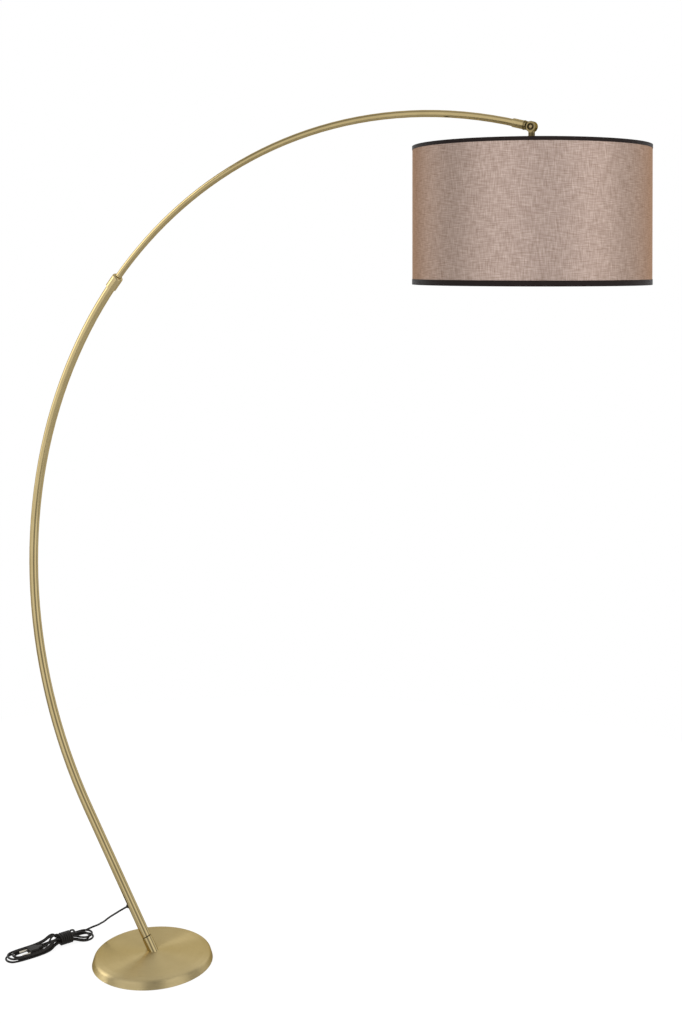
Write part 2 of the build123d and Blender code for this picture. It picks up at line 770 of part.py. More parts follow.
# Mains lead on the floor: a tied hank, worked out in its own frame and set down beside the base
hank_turn = math.radians(hank_heading)
hank_along = (math.cos(hank_turn), math.sin(hank_turn), 0)
hank_plane = Plane(origin=(*hank_place, 0), x_dir=hank_along, z_dir=(0, 0, 1))
cord_diameter = 2 * cord_radius
low_level = cord_radius + floor_gap
waist_level = low_level + wrap_half_height
strand_at_waist = (strand_pitch / 2, 1.5 * strand_pitch)
strand_at_fold = (fold_radius, fold_radius + strand_pitch)
top_lift = (0.0, layer_pitch)
passes = [(layer, ring, side) for layer in (0, 1) for ring in ((1, 0), (0, 1))[layer] for side in (1, -1)]


def hank_stations():
    """Places and directions along the lead, in the hank's frame: along, across and up."""
    outer = strand_at_fold[1]
    start = (right_turns[0] + lead_in_radius, outer - lead_in_radius, low_level + lead_in_lift)
    slope = Vector(0, 1, -lead_in_slope).normalized()
    stations = [(step_along(start, tuple(slope), -cord_diameter), tuple(slope)), (start, tuple(slope))]
    for number, (layer, ring, side) in enumerate(passes):
        fold = side * strand_at_fold[ring]
        waist = side * strand_at_waist[ring]
        end_level = low_level + top_lift[layer]
        tied_level = waist_level - layer_pitch / 2 + top_lift[layer]
        left_turn = left_turns[number // 2]
        right_turn = right_turns[min(max(0, number - 1) // 2, len(right_turns) - 1)]
        lead = ring * spread_lead
        run = [
            (right_turn, fold, end_level),
            (spread_right - lead, fold, end_level),
            (waist_right - lead, waist, tied_level),
            (waist_left + lead, waist, tied_level),
            (spread_left + lead, fold, end_level),
            (left_turn, fold, end_level),
        ]
        if side > 0:
            stations += [(place, (-1, 0, 0)) for place in run]
            stations.append(((left_turn - strand_at_fold[ring], 0, end_level), (0, -1, 0)))
            continue
        if number == len(passes) - 1:
            run = [(wrap_start + wrap_lead - wrap_rise, waist, tied_level)] + run[3:]
        stations += [(place, (1, 0, 0)) for place in reversed(run)]
        if number < len(passes) - 1:
            next_layer, next_ring, _ = passes[number + 1]
            next_fold = strand_at_fold[next_ring]
            tip = right_turn + (next_fold - fold) / 2
            middle_level = (end_level + low_level + top_lift[next_layer]) / 2
            climb = (next_layer - layer) * layer_pitch / (math.pi * next_fold)
            stations.append(((tip, (next_fold + fold) / 2, middle_level), (0, 1, climb)))
    around = 2 * math.pi * (wrap_half_width + wrap_half_height) / 2
    first_wrap = (wrap_start + wrap_lead, 0, waist_level + wrap_half_height)
    stations.append((first_wrap, (-wrap_lead, around / 4, 0)))
    for quarter in (*range(1, 4 * wrap_turns), 4 * wrap_turns - wrap_release):
        turn = math.radians(90 - 90 * quarter)
        place = (wrap_start - wrap_pitch * quarter / 4, wrap_half_width * math.cos(turn),
                 waist_level + wrap_half_height * math.sin(turn))
        stations.append((place, (-wrap_pitch / around, math.sin(turn), -math.cos(turn))))
    wrap_end = (wrap_start - wrap_pitch * wrap_turns, 0, waist_level + wrap_half_height)
    stations.append((tuple(a + b for a, b in zip(wrap_end, tail_turn)), tail_heading))
    tail = (tail_end, 0, plug_thickness / 2 + floor_gap)
    stations.append((tail, (-1, 0, 0)))
    stations.append((step_along(tail, (-1, 0, 0), cord_diameter), (-1, 0, 0)))
    return stations


def biarc_joint(start, start_heading, end, end_heading):
    """Point where two tangent arcs meet between two headed places."""
    span = end - start
    total = start_heading + end_heading
    bend = 2 * (1 - start_heading.dot(end_heading))
    along = span.dot(total)
    if bend < same_place:
        reach = span.dot(span) / (2 * along)
    else:
        reach = (-along + math.sqrt(along * along + bend * span.dot(span))) / bend
    return (start + end + (start_heading - end_heading) * reach) / 2


def to_lamp(vector, is_place):
    """A place or heading of the hank's frame in the lamp's frame."""
    moved = hank_plane.from_local_coords(Vector(*vector))
    return moved if is_place else (moved - hank_plane.origin).normalized()


headed = [(to_lamp(place, True), to_lamp(heading, False)) for place, heading in hank_stations()]
with BuildPart() as cord_hank:
    with BuildLine() as hank_path:
        for (here, heading), (there, next_heading) in zip(headed[:-1], headed[1:]):
            if (there - here).length < same_place:
                continue
            straight = (there - here).normalized()
            if (straight - heading).length + (straight - next_heading).length < same_place:
                Line(here, there)
            else:
                joint = biarc_joint(here, heading, there, next_heading)
                TangentArc(here, joint, tangent=heading)
                TangentArc(there, joint, tangent=-next_heading)
    with BuildSketch(Plane(origin=headed[0][0], z_dir=headed[0][1])):
        Circle(cord_radius)
    sweep(path=hank_path.wires()[0])
keep(cord_hank, "cord_hank")

# Free stretch of the lead, from the grommet's nose down to the floor and the hank
hank_entry, entry_heading = headed[0]
run_points = [
    nose_point,
    step_along(nose_point, back_axis, run_start),
    *run_way,
    tuple(hank_entry - entry_heading * run_end),
    tuple(hank_entry),
]


def bend_radius(before, corner, after):
    """Largest smooth bend that two runs of the lead leave room for."""
    first = Vector(*corner) - Vector(*before)
    second = Vector(*after) - Vector(*corner)
    half_turn = math.radians(first.get_angle(second)) / 2
    return bend_share * min(first.length, second.length) / math.tan(half_turn)


run_radii = [bend_radius(*run_points[i - 1:i + 2]) for i in range(1, len(run_points) - 1)]
with BuildPart() as cord_run:
    with BuildLine() as run_path:
        FilletPolyline(*run_points, radius=run_radii)
    with BuildSketch(Plane(origin=run_path.line @ 0, z_dir=run_path.line % 0)):
        Circle(cord_radius)
    sweep(path=run_path.line)
keep(cord_run, "cord_run")

# Flat plug on the hank's left loops, with two round pins
plug_back, plug_heading = headed[-1]
plug_side = hank_plane.y_dir
plug_up = plug_heading.cross(plug_side) * -1
plug_plane = Plane(origin=plug_back, x_dir=plug_heading, z_dir=plug_up)
with BuildPart() as plug_body:
    with BuildSketch(plug_plane):
        with BuildLine():
            Polyline(
                (0, plug_back_width / 2),
                (plug_waist, plug_waist_width / 2),
                (plug_shoulder, plug_width / 2),
                (plug_length, plug_width / 2),
                (plug_length, 0),
                (0, 0),
                close=True,
            )
        make_face()
        mirror(about=Plane.XZ)
    extrude(amount=plug_thickness / 2, both=True)
    stacked = plug_body.faces().sort_by(Axis(plug_back, plug_up))
    fillet(stacked[0].edges() + stacked[-1].edges(), plug_round)
keep(plug_body, "plug_body")
pin_plane = Plane(origin=plug_back + plug_heading * plug_length, x_dir=plug_side, z_dir=plug_heading)
with BuildPart() as plug_pins:
    with BuildSketch(pin_plane):
        with GridLocations(pin_spacing, 0, 2, 1):
            Circle(pin_radius)
    extrude(amount=pin_length)
    tips = plug_pins.faces().filter_by(pin_plane).edges().group_by(Axis(plug_back, plug_heading))[-1]
    fillet(tips, pin_radius / 2)
keep(plug_pins, "plug_pins")

# Measures of the lead
hank_wire = hank_path.wires()[0]
run_wire = run_path.wires()[0]
samples = [edge @ (step / edge_samples) for edge in hank_wire.edges() for step in range(edge_samples)]
places = [0.0]
for before, after in zip(samples[:-1], samples[1:]):
    places.append(places[-1] + (after - before).length)
least = min(
    (samples[i] - samples[j]).length
    for i in range(len(samples))
    for j in range(i)
    if places[i] - places[j] > 4 * cord_diameter
)
section_area = math.pi * cord_radius**2
print("hank length", round(hank_wire.length), "least gap to itself", round(least - cord_diameter, 2))
print("hank volume / section x length", round(cord_hank.part.volume / (section_area * hank_wire.length), 4))
print("hank least radius", round(min(e.radius for e in hank_path.edges().filter_by(GeomType.CIRCLE)), 1))
print("run length", round(run_wire.length), "radii", [round(r) for r in run_radii])
print("run volume / section x length", round(cord_run.part.volume / (section_area * run_wire.length), 4))
print("arc centre", [round(c, 3) for c in arc_centre], "pivot", [round(c, 3) for c in pivot])
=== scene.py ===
"""Arc floor lamp: finishes, cloth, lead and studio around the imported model."""

import json
import math

import bpy
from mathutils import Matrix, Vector


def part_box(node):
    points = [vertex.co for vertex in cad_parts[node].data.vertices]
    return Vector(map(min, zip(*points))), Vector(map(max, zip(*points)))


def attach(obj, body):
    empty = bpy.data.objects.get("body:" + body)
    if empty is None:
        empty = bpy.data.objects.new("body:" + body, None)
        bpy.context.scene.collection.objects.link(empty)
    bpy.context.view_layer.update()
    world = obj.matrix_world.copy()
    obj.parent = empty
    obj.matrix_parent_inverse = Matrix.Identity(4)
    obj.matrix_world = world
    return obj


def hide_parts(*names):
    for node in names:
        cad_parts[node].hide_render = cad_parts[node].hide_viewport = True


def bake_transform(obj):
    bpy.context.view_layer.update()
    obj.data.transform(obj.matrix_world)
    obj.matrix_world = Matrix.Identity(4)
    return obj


bl_info = {
    "name": "Arc Floor Lamp",
    "version": (1, 0, 0),
    "blender": (4, 5, 0),
    "location": "View3D > Sidebar > Lamp",
    "description": "Dresses the arc floor lamp and sets it in a plain studio",
    "category": "Object",
}

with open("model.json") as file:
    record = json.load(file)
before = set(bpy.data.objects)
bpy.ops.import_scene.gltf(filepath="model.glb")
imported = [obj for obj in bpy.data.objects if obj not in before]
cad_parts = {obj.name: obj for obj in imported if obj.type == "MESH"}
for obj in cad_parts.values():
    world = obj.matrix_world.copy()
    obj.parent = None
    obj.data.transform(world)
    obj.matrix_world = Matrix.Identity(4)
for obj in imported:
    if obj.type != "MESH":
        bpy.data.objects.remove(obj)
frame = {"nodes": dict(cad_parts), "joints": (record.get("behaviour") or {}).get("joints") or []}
NODES = frame["nodes"]
JOINTS = {joint["name"]: joint for joint in frame["joints"]}
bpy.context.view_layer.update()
ARC_CENTRE = Vector(JOINTS["arm_slide"]["pos_m"])
PIVOT = Vector(JOINTS["shade_tilt"]["pos_m"])
LEAN = math.radians(56.5)
FOOT_AXIS = Vector((-math.cos(LEAN), 0.0, math.sin(LEAN)))
BACK_AXIS = Vector((-math.sin(LEAN), 0.0, -math.cos(LEAN)))
# Places and lengths in metres
FOOT = Vector((0.0, 0.0, 0.024))
FOOT_LENGTH = 0.336
SOCKET_LENGTH = 0.0306
ARC_RADIUS = 0.990
SHADE_RADIUS = 0.225
MM = 0.001
AZIMUTH = math.radians(29.61)


def colour_setting(name, description, default):
    """A colour of the panel."""
    return bpy.props.FloatVectorProperty(
        name=name, description=description, subtype="COLOR", size=3, min=0, max=1, default=default)


def strength_setting(name, description, default, most=5.0):
    """A light's strength on the panel."""
    return bpy.props.FloatProperty(name=name, description=description, default=default, min=0, max=most)


class LampFinishes(bpy.types.PropertyGroup):
    """Colours and sizes of the lamp's finishes."""

    brass_light: colour_setting(
        "Brass, light", "Brushed antique brass where it is rubbed bright", (0.58, 0.47, 0.25))
    brass_dark: colour_setting("Brass, dark", "Brushed antique brass in its patina", (0.38, 0.295, 0.14))
    brass_edge: colour_setting("Brass, edge", "Tint of the brass at grazing angles", (0.45, 0.37, 0.24))
    linen_light: colour_setting("Linen, light", "Raised threads of the shade's linen", (0.628, 0.528, 0.512))
    linen_dark: colour_setting("Linen, dark", "Gaps between the shade's threads", (0.266, 0.194, 0.168))
    tape_colour: colour_setting("Tape", "Black bias tape on the shade's edges", (0.008, 0.0055, 0.005))
    lead_colour: colour_setting("Lead", "Black sheath of the mains lead", (0.008, 0.007, 0.006))
    thread_pitch: bpy.props.FloatProperty(
        name="Thread pitch", description="Distance between the linen's threads",
        default=0.0013, min=0.0003, max=0.005, unit="LENGTH")


class LampStudio(bpy.types.PropertyGroup):
    """Camera and light of the studio."""

    camera_place: bpy.props.FloatVectorProperty(
        name="Camera", description="Where the camera stands",
        subtype="XYZ", size=3, unit="LENGTH", default=(2.0039, -2.4622, 1.5502))
    camera_azimuth: bpy.props.FloatProperty(
        name="Azimuth", description="Turn of the camera about the vertical",
        subtype="ANGLE", default=AZIMUTH)
    camera_dip: bpy.props.FloatProperty(
        name="Dip", description="How far the camera looks down",
        subtype="ANGLE", default=math.radians(0.811))
    lens: bpy.props.FloatProperty(name="Lens", description="Focal length in millimetres", default=50.0)
    shift_x: bpy.props.FloatProperty(name="Shift X", description="Sideways lens shift", default=-0.0478)
    shift_y: bpy.props.FloatProperty(name="Shift Y", description="Upward lens shift", default=-0.2253)
    room_light: strength_setting(
        "Room light", "Strength of the light from the room's ceiling", 0.55, most=2.0)
    room_dark: strength_setting(
        "Room dark", "Strength of the light from the room's front", 0.38, most=2.0)
    left_light: strength_setting("Left light", "Strength of the wide soft light on the left", 0.78)
    right_light: strength_setting("Right light", "Strength of the soft light on the right", 0.84)
    front_azimuth: bpy.props.FloatProperty(
        name="Front", description="Direction that the lights are set about",
        subtype="ANGLE", default=AZIMUTH)
    key_power: bpy.props.FloatProperty(
        name="Key power", description="Power of the soft box high in front",
        default=66.0, min=0, unit="POWER")
    strip_power: bpy.props.FloatProperty(
        name="Strip power", description="Power of the narrow soft box on the left",
        default=2.8, min=0, unit="POWER")


class Number:
    """A value socket that takes part in sums."""

    def __init__(self, wiring, socket):
        self.wiring = wiring
        self.socket = socket

    def __add__(self, other):
        return self.wiring.maths("ADD", self, other)

    __radd__ = __add__

    def __sub__(self, other):
        return self.wiring.maths("SUBTRACT", self, other)

    def __rsub__(self, other):
        return self.wiring.maths("SUBTRACT", other, self)

    def __mul__(self, other):
        return self.wiring.maths("MULTIPLY", self, other)

    __rmul__ = __mul__

    def __pow__(self, other):
        return self.wiring.maths("POWER", self, other)

    def __gt__(self, other):
        return self.wiring.maths("GREATER_THAN", self, other)

    def sine(self):
        return self.wiring.maths("SINE", self)

    def size(self):
        return self.wiring.maths("ABSOLUTE", self)

    def step(self, low, high):
        """0 below the lower limit, 1 above the upper one, smooth between."""
        inputs = {"Value": self, "From Min": low, "From Max": high}
        made = self.wiring.node("ShaderNodeMapRange", {"interpolation_type": "SMOOTHSTEP"}, inputs)
        return Number(self.wiring, made.outputs[0])

    def towards(self, other, share):
        """This value moved towards another by a share."""
        return self + share * (other - self)


class Wiring:
    """The nodes and links of one shader tree."""

    def __init__(self, tree):
        self.tree = tree

    def node(self, kind, settings=None, inputs=None):
        """Any node, with its settings and the values or links of its sockets."""
        made = self.tree.nodes.new(kind)
        for name, value in (settings or {}).items():
            setattr(made, name, value)
        for key, value in (inputs or {}).items():
            self.feed(made.inputs[key], value)
        return made

    def feed(self, socket, value):
        """Link a socket to a value, or set it."""
        if isinstance(value, Number):
            value = value.socket
        if isinstance(value, bpy.types.NodeSocket):
            self.tree.links.new(value, socket)
        elif socket.type == "RGBA":
            socket.default_value = (*value, 1.0) if len(value) == 3 else value
        else:
            socket.default_value = value

    def maths(self, operation, *values):
        made = self.node("ShaderNodeMath", {"operation": operation}, dict(enumerate(values)))
        return Number(self, made.outputs[0])

    def place(self, kind="Object"):
        """Coordinates of one kind as three numbers."""
        coordinates = self.node("ShaderNodeTexCoord").outputs[kind]
        split = self.node("ShaderNodeSeparateXYZ", None, {0: coordinates})
        return [Number(self, socket) for socket in split.outputs]

    def vector(self, *values):
        return self.node("ShaderNodeCombineXYZ", None, dict(enumerate(values))).outputs[0]

    def noise(self, vector, scale=1.0, detail=2.0, roughness=0.5):
        inputs = {"Vector": vector, "Scale": scale, "Detail": detail, "Roughness": roughness}
        return Number(self, self.node("ShaderNodeTexNoise", None, inputs).outputs[0])

    def mix(self, factor, low, high):
        """A colour between two."""
        settings = {"data_type": "RGBA", "clamp_factor": True}
        made = self.node("ShaderNodeMix", settings, {0: factor, 6: low, 7: high})
        return made.outputs[2]

    def ray_kinds(self):
        """1 for camera rays, and 1 for rays in mirrors and glass."""
        path = self.node("ShaderNodeLightPath")
        camera, glossy, through = [
            Number(self, path.outputs[f"Is {kind} Ray"]) for kind in ("Camera", "Glossy", "Transmission")]
        return camera, self.maths("MAXIMUM", glossy, through)


class Finish(Wiring):
    """A procedural material under construction."""

    def __init__(self, name):
        self.material = bpy.data.materials.new(name)
        self.material.use_nodes = True
        super().__init__(self.material.node_tree)
        self.shader = self.tree.nodes["Principled BSDF"]
        self.output = self.tree.nodes["Material Output"]

    def surface(self, **sockets):
        """Sockets of the main shader, underscores for spaces."""
        for name, value in sockets.items():
            self.feed(self.shader.inputs[name.replace("_", " ")], value)

    def bump(self, height, distance, strength):
        inputs = {"Height": height, "Distance": distance, "Strength": strength}
        self.feed(self.shader.inputs["Normal"], self.node("ShaderNodeBump", None, inputs).outputs[0])


# Steps of the noise for each metre, along and across streaks, threads and fuzz
STREAK_RATE = 11.0
THREAD_RATE, SLUB_RATE, SLUB_SHEAR = 900.0, 50.0, 281.0
FUZZ_RATE = 400.0
# Keeps the noise of the level threads apart from that of the upright ones
LEVEL_SEED = 4.0
# Radius that turns the base's angle into a length, and shares that slow the lathe's lines
SPUN_RADIUS = 0.05
LATHE_ACROSS, LATHE_ROUND = 0.004, 0.2
# Distance between the tape's twill lines, in metres
TWILL_PITCH = 0.0009
# Distances between which the painted shade of the seam, below the swivel's eye and in the screw's recess
# comes or goes, in metres
SEAM_SHADE_EDGES = (0.0007, 0.0016)
STEM_SHADE_EDGES = (0.0100, 0.0125)
RECESS_SHADE_EDGES = (0.0060, 0.0072)
# As a share of a whole turn
QUARTER_TURN = 0.25


def distance_along(finish, origin, axis):
    """Distance of the surface along an axis."""
    x, y, z = finish.place()
    return (x - origin[0]) * axis[0] + (y - origin[1]) * axis[1] + (z - origin[2]) * axis[2]


def along_bow(finish):
    """Across, beside and along the pole: the straight foot, then the arc."""
    x, y, z = finish.place()
    bend = FOOT + FOOT_AXIS * FOOT_LENGTH
    foot_across = (x - bend.x) * BACK_AXIS.x + (z - bend.z) * BACK_AXIS.z + ARC_RADIUS
    foot_along = (x - bend.x) * FOOT_AXIS.x + (z - bend.z) * FOOT_AXIS.z
    rise, reach = z - ARC_CENTRE.z, x - ARC_CENTRE.x
    arc_across = (rise * rise + reach * reach) ** 0.5
    arc_along = finish.maths("ARCTAN2", rise, reach) * -ARC_RADIUS
    on_arc = foot_along > 0.0
    across = foot_across + on_arc * (arc_across - foot_across)
    along = foot_along + on_arc * (arc_along - foot_along)
    return across, y, along


def about_vertical(finish):
    """Radius, height and angle about the base's axis."""
    x, y, z = finish.place()
    return (x * x + y * y) ** 0.5, z, finish.maths("ARCTAN2", y, x) * SPUN_RADIUS


def brushed_brass(name, way, finishes, gloss, depth=0.00002, grain=2600.0, spin=0.0, painted_light_shift=0.0, paint_seam_shade=False):
    """Satin antique brass with fine brush lines that follow the piece. A tone shift paints it lighter or
    darker as painted light or shade, and the seam option paints shade into the seam above the base socket.
    """
    finish = Finish(name)
    across, beside, along = way(finish)
    streaks = finish.noise(finish.vector(across * grain, beside * grain, along * STREAK_RATE), detail=3.0)
    x, y, z = finish.place()
    patina = finish.noise(finish.vector(x, y, z), scale=14.0, detail=4.0, roughness=0.6)
    # The tone shift is painted light where it is above zero and painted shade where it is below
    tone = streaks * 0.55 + patina * 0.75 - 0.15 + painted_light_shift
    brass = finish.mix(tone, finishes.brass_dark, finishes.brass_light)
    # Painted shade: a dark band where the lower tube meets the base socket, standing in for the shade in the
    # gap between them
    if paint_seam_shade:
        beyond = distance_along(finish, FOOT + FOOT_AXIS * SOCKET_LENGTH, FOOT_AXIS)
        shadow = [c * 0.15 for c in finishes.brass_dark]
        brass = finish.mix(beyond.size().step(*SEAM_SHADE_EDGES), shadow, brass)
    finish.surface(
        Base_Color=brass,
        Metallic=1.0,
        Roughness=streaks * 0.16 + patina * 0.10 + (gloss - 0.13),
        Specular_Tint=finishes.brass_edge,
        Anisotropic=spin,
        Anisotropic_Rotation=QUARTER_TURN,
    )
    finish.bump(streaks, depth, 0.6)
    return finish.material


def turned_way(origin, axis):
    """Lines of the lathe: quick along the axis, slow round it."""
    def way(finish):
        x, y, z = finish.place()
        return distance_along(finish, origin, axis), (x + z) * LATHE_ACROSS, y * LATHE_ROUND
    return way


def swivel_brass(name, finishes):
    """Cast brass of the swivel, dark with patina, with painted shade in the screw's recess and on the shank
    below the eye.
    """
    finish = Finish(name)
    x, y, z = finish.place()
    grains = finish.noise(finish.vector(x, y, z), scale=700.0, detail=3.0)
    patina = finish.noise(finish.vector(x, y, z), scale=110.0, detail=4.0, roughness=0.6)
    reach = ((x - PIVOT.x) * (x - PIVOT.x) + (z - PIVOT.z) * (z - PIVOT.z)) ** 0.5
    # Painted shade: the shank between the swivel and the shade is darkened as if in shadow, and the screw's
    # recess is darkened nearly to black
    stem_shade = (PIVOT.z - z).step(*STEM_SHADE_EDGES)
    tone = (patina + grains * 0.3) * reach.step(*RECESS_SHADE_EDGES) * (1.0 - stem_shade * 0.7)
    finish.surface(
        Base_Color=finish.mix(tone, [c * 0.12 for c in finishes.brass_dark], finishes.brass_dark),
        Metallic=1.0,
        Roughness=grains * 0.08 + patina * 0.08 + 0.08,
        Specular_Tint=finishes.brass_edge,
    )
    finish.bump(grains, 0.00003, 0.5)
    return finish.material


def metal(name, low, high, gloss):
    """Plated or bright metal with a faint grain."""
    finish = Finish(name)
    x, y, z = finish.place()
    grains = finish.noise(finish.vector(x, y, z), scale=900.0, detail=3.0)
    cloud = finish.noise(finish.vector(x, y, z), scale=60.0, detail=2.0)
    finish.surface(
        Base_Color=finish.mix(grains * 0.5 + cloud * 0.5, low, high),
        Metallic=1.0,
        Roughness=grains * 0.12 + (gloss - 0.06),
    )
    finish.bump(grains, 0.00004, 0.4)
    return finish.material


def moulded(name, low, high, gloss, grain=1400.0, depth=0.00005, shine=0.5):
    """Plastic, rubber or glaze with a moulded grain."""
    finish = Finish(name)
    x, y, z = finish.place()
    grains = finish.noise(finish.vector(x, y, z), scale=grain, detail=2.0)
    cloud = finish.noise(finish.vector(x, y, z), scale=45.0, detail=3.0)
    finish.surface(
        Base_Color=finish.mix(cloud, low, high),
        Roughness=grains * 0.14 + cloud * 0.08 + (gloss - 0.11),
        Specular_IOR_Level=shine,
    )
    finish.bump(grains, depth, 0.6)
    return finish.material


def cast(name):
    """Raw grey iron casting."""
    finish = Finish(name)
    x, y, z = finish.place()
    pits = finish.noise(finish.vector(x, y, z), scale=420.0, detail=5.0, roughness=0.65)
    finish.surface(
        Base_Color=finish.mix(pits, (0.055, 0.055, 0.055), (0.15, 0.145, 0.14)),
        Metallic=0.75,
        Roughness=pits * 0.25 + 0.5,
    )
    finish.bump(pits, 0.0004, 0.8)
    return finish.material


def round_shade(finish):
    """Way round the shade and height, in metres."""
    x, y, z = finish.place()
    return finish.maths("ARCTAN2", y, x - PIVOT.x) * SHADE_RADIUS, z


def linen(name, finishes, low, high, depth, satin):
    """Slubby linen, threads with thick and thin places. Satin adds metal, sheen and a thin tinted coat."""
    finish = Finish(name)
    around, height = round_shade(finish)
    turn = 2 * math.pi / finishes.thread_pitch
    weave = (around * turn).sine() * (height * turn).sine()
    upright_way = finish.vector(around * THREAD_RATE, height * SLUB_RATE + around * SLUB_SHEAR, 0.0)
    level_way = finish.vector(height * SLUB_SHEAR + around * SLUB_RATE, height * THREAD_RATE, LEVEL_SEED)
    upright, level = [finish.noise(way, detail=1.0, roughness=0.6) for way in (upright_way, level_way)]
    threads = (upright + level) * 1.40 - 0.90
    finish.surface(
        Base_Color=finish.mix(threads + weave * 0.12, low, high),
        Metallic=satin,
        Roughness=0.34 - threads * 0.06,
        Specular_IOR_Level=0.1,
        Specular_Tint=(0.45, 0.22, 0.10),
        Sheen_Weight=satin * 0.25,
        Sheen_Roughness=0.35,
        Sheen_Tint=(0.80, 0.36, 0.13),
        Coat_Weight=satin * 2.0,
        Coat_Roughness=0.6,
        Coat_IOR=1.05,
        Coat_Tint=(0.94, 0.887, 0.81),
    )
    finish.bump(weave * 0.35 + threads, depth, 0.6)
    return finish.material


def bias_tape(name, finishes):
    """Black woven tape, its twill on the slant."""
    finish = Finish(name)
    around, height = round_shade(finish)
    twill = ((around + height) * (2 * math.pi / TWILL_PITCH)).sine()
    fuzz = finish.noise(finish.vector(around * FUZZ_RATE, height * FUZZ_RATE, 0.0), detail=3.0)
    worn = [c * 2.6 for c in finishes.tape_colour]
    finish.surface(
        Base_Color=finish.mix(fuzz + twill * 0.15, finishes.tape_colour, worn),
        Roughness=0.55 - fuzz * 0.2,
        Specular_IOR_Level=0.08,
    )
    finish.bump(twill * 0.5 + fuzz, 0.00012, 0.6)
    return finish.material


def dress(material, *names):
    """Give CAD nodes their finish."""
    for name in names:
        slots = NODES[name].data.materials
        slots.clear()
        slots.append(material)


def bent(name, node):
    """A copy of a flexible inner lead as a plain object, in place of its CAD node."""
    mesh = NODES[node].data.copy()
    mesh.transform(NODES[node].matrix_world)
    piece = bpy.data.objects.new(name, mesh)
    bpy.context.scene.collection.objects.link(piece)
    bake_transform(piece)
    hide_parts(node)


# Bias tape, in metres
TAPE_THICKNESS = 0.0006
HEM_WIDTH, HEM_HEIGHT = 0.0067, 0.0027
TAPE_ROUNDING = 0.45
TAPE_SEGMENTS = 240
ROUNDING_STEPS = 5
SHARP_ANGLE = math.radians(40)


def tape_tree():
    """Node tree: a folded tape round a circle, a thin leg outside and a round hem over the wire."""
    tree = bpy.data.node_groups.new("tape_round_an_edge", "GeometryNodeTree")
    face = tree.interface
    for part in ("Leg", "Hem"):
        for label in ("radius", "thickness", "height", "rounding", "level"):
            face.new_socket(f"{part} {label}", in_out="INPUT", socket_type="NodeSocketFloat")
    face.new_socket("Centre", in_out="INPUT", socket_type="NodeSocketFloat")
    face.new_socket("Segments", in_out="INPUT", socket_type="NodeSocketInt")
    face.new_socket("Material", in_out="INPUT", socket_type="NodeSocketMaterial")
    face.new_socket("Geometry", in_out="OUTPUT", socket_type="NodeSocketGeometry")
    add, link = tree.nodes.new, tree.links.new
    given, result = add("NodeGroupInput"), add("NodeGroupOutput")
    joined = add("GeometryNodeJoinGeometry")
    for part in ("Leg", "Hem"):
        circle = add("GeometryNodeCurvePrimitiveCircle")
        link(given.outputs["Segments"], circle.inputs["Resolution"])
        link(given.outputs[f"{part} radius"], circle.inputs["Radius"])
        section = add("GeometryNodeCurvePrimitiveQuadrilateral")
        link(given.outputs[f"{part} thickness"], section.inputs["Width"])
        link(given.outputs[f"{part} height"], section.inputs["Height"])
        rounded = add("GeometryNodeFilletCurve")
        rounded.mode = "POLY"
        rounded.inputs["Count"].default_value = ROUNDING_STEPS
        link(section.outputs[0], rounded.inputs["Curve"])
        link(given.outputs[f"{part} rounding"], rounded.inputs["Radius"])
        swept = add("GeometryNodeCurveToMesh")
        link(circle.outputs[0], swept.inputs["Curve"])
        link(rounded.outputs[0], swept.inputs["Profile Curve"])
        place = add("ShaderNodeCombineXYZ")
        link(given.outputs["Centre"], place.inputs["X"])
        link(given.outputs[f"{part} level"], place.inputs["Z"])
        moved = add("GeometryNodeTransform")
        link(swept.outputs[0], moved.inputs["Geometry"])
        link(place.outputs[0], moved.inputs["Translation"])
        link(moved.outputs[0], joined.inputs[0])
    real = add("GeometryNodeRealizeInstances")
    link(joined.outputs[0], real.inputs[0])
    painted = add("GeometryNodeSetMaterial")
    link(real.outputs[0], painted.inputs["Geometry"])
    link(given.outputs["Material"], painted.inputs["Material"])
    link(painted.outputs[0], result.inputs[0])
    return tree


def grown(name, tree, values):
    """A plain mesh object from a node tree and its named inputs."""
    piece = bpy.data.objects.new(name, bpy.data.meshes.new(name))
    bpy.context.scene.collection.objects.link(piece)
    modifier = piece.modifiers.new("grow", "NODES")
    modifier.node_group = tree
    for item in tree.interface.items_tree:
        if item.in_out == "INPUT" and item.name in values:
            modifier[item.identifier] = values[item.name]
    bpy.context.view_layer.update()
    seen = piece.evaluated_get(bpy.context.evaluated_depsgraph_get())
    mesh = bpy.data.meshes.new_from_object(seen)
    piece.modifiers.clear()
    piece.data = mesh
    mesh.name = name
    mesh.shade_smooth()
    mesh.set_sharp_from_angle(angle=SHARP_ANGLE)
    if not mesh.polygons:
        raise RuntimeError(f"{name} grew no faces")
    return piece


def finishes_of(context):
    return context.scene.arc_lamp_finishes


# Turned pieces with their gloss and a painted light or shade shift of their tone
TURNED_PIECES = (("collar", 0.12, 0.0), ("base_socket", 0.16, 0.0), ("arm_ferrule", 0.22, -0.15))


